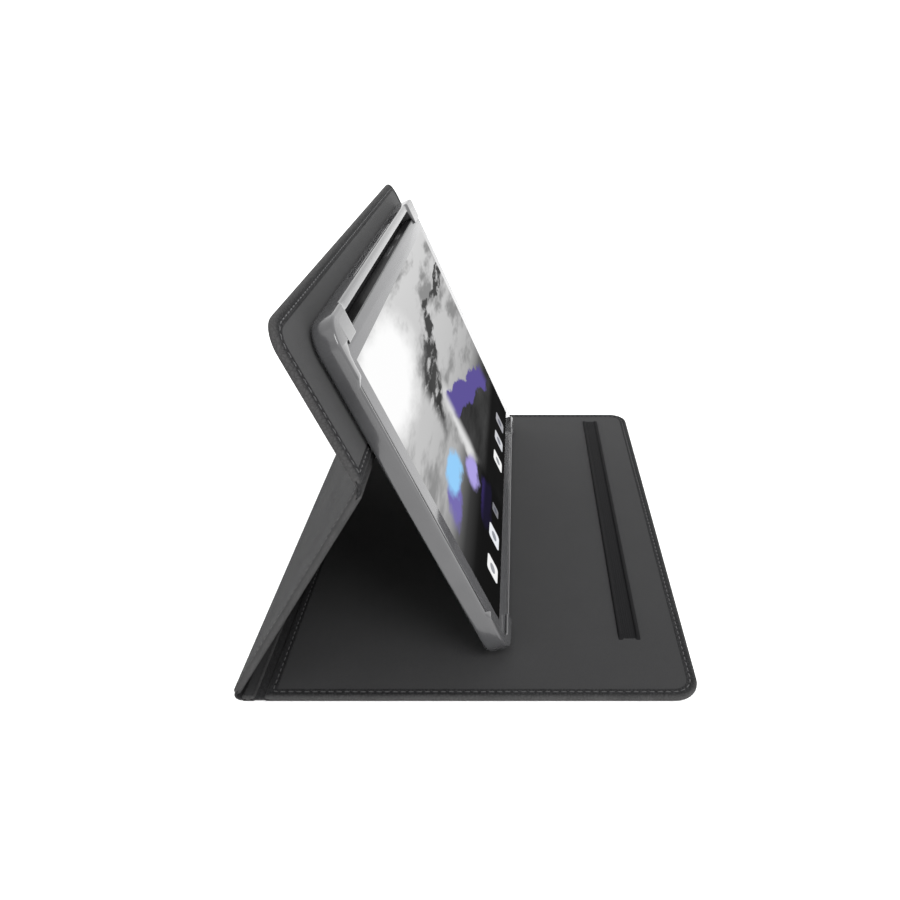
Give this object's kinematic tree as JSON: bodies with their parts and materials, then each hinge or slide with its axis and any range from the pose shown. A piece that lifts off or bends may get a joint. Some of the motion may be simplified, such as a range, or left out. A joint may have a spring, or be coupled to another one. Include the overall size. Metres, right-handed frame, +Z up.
{
  "type": "tablet folio stand case",
  "caption": "Folio case standing open: flat cover, folded leg and back panel, and a moulded tray that holds a tablet leaning back behind a grip strip.",
  "frame": {"origin": "on the table under the middle of the cover and spine", "axes": "+X from the spine to the cover's free edge, +Y along the creases away from the viewer, +Z up"},
  "size_m": [0.215, 0.3, 0.1818],
  "materials": {
    "leather": "charcoal grained synthetic leather, low sheen",
    "board": "grey board",
    "lining": "charcoal brushed microfibre",
    "grip_rubber": "black matt rubber",
    "tray_plastic": "black glossy moulded shell",
    "foam_tape": "black foam tape",
    "tablet_housing": "dark satin",
    "cover_glass": "black-bordered clear front glass, treated as opaque round its border",
    "screen": "display module",
    "battery_foil": "foil pouch",
    "circuit_board": "green solder mask",
    "module_plastic": "black",
    "lens_glass": "dark lens",
    "key_plastic": "dark satin"
  },
  "bodies": {
    "cover": {"cover_leather": "leather", "cover_board": "board", "cover_lining": "lining", "cover_crease": "leather", "inner_grip_strip": "grip_rubber", "outer_grip_strip": "grip_rubber", "inner_stop_ribs": "grip_rubber", "outer_stop_ribs": "grip_rubber"},
    "spine": {"spine_leather": "leather", "spine_board": "board", "spine_lining": "lining", "spine_crease": "leather"},
    "leg": {"leg_leather": "leather", "leg_board": "board", "leg_lining": "lining", "panel_crease": "leather"},
    "back_panel": {"panel_leather": "leather", "panel_board": "board", "panel_lining": "lining", "tray_pad": "foam_tape", "tray_shell": "tray_plastic"},
    "tablet": {"tablet_housing": "tablet_housing", "tablet_glass": "cover_glass", "tablet_display": "screen", "tablet_battery": "battery_foil", "tablet_logic_board": "circuit_board", "tablet_speakers": "module_plastic", "tablet_connector": "module_plastic", "tablet_camera": "lens_glass"},
    "power_key": {"power_key": "key_plastic"},
    "volume_key": {"volume_key": "key_plastic"}
  },
  "joints": [
    {"name": "cover_fold", "type": "hinge", "parent": "cover", "child": "spine", "pos_m": [-0.09559, 0, 0.0018], "axis": [0, -1, 0], "range_deg": [0, 90], "deforming": ["cover_crease"]},
    {"name": "stand_fold", "type": "hinge", "parent": "spine", "child": "leg", "pos_m": [-0.10809, 0, 0.0018], "axis": [0, -1, 0], "range_deg": [0, 122], "deforming": ["spine_crease"]},
    {"name": "panel_fold", "type": "hinge", "parent": "leg", "child": "back_panel", "pos_m": [-0.0382, 0, 0.11366], "axis": [0, -1, 0], "range_deg": [-54.51, 0], "deforming": ["panel_crease"]},
    {"name": "tablet_slide", "type": "slide", "parent": "back_panel", "child": "tablet", "axis": [0, 1, 0], "range_m": [0, 0.27]},
    {"name": "power_press", "type": "slide", "parent": "tablet", "child": "power_key", "axis": [0.3827, 0, -0.9239], "range_m": [0, 0.0004], "stiffness_N_per_m": 1000},
    {"name": "volume_press", "type": "slide", "parent": "tablet", "child": "volume_key", "axis": [0.3827, 0, -0.9239], "range_m": [0, 0.0004], "stiffness_N_per_m": 1000}
  ],
  "couplings": [
    {"joint": "panel_fold", "follows": "stand_fold", "ratio": -0.44672}
  ]
}
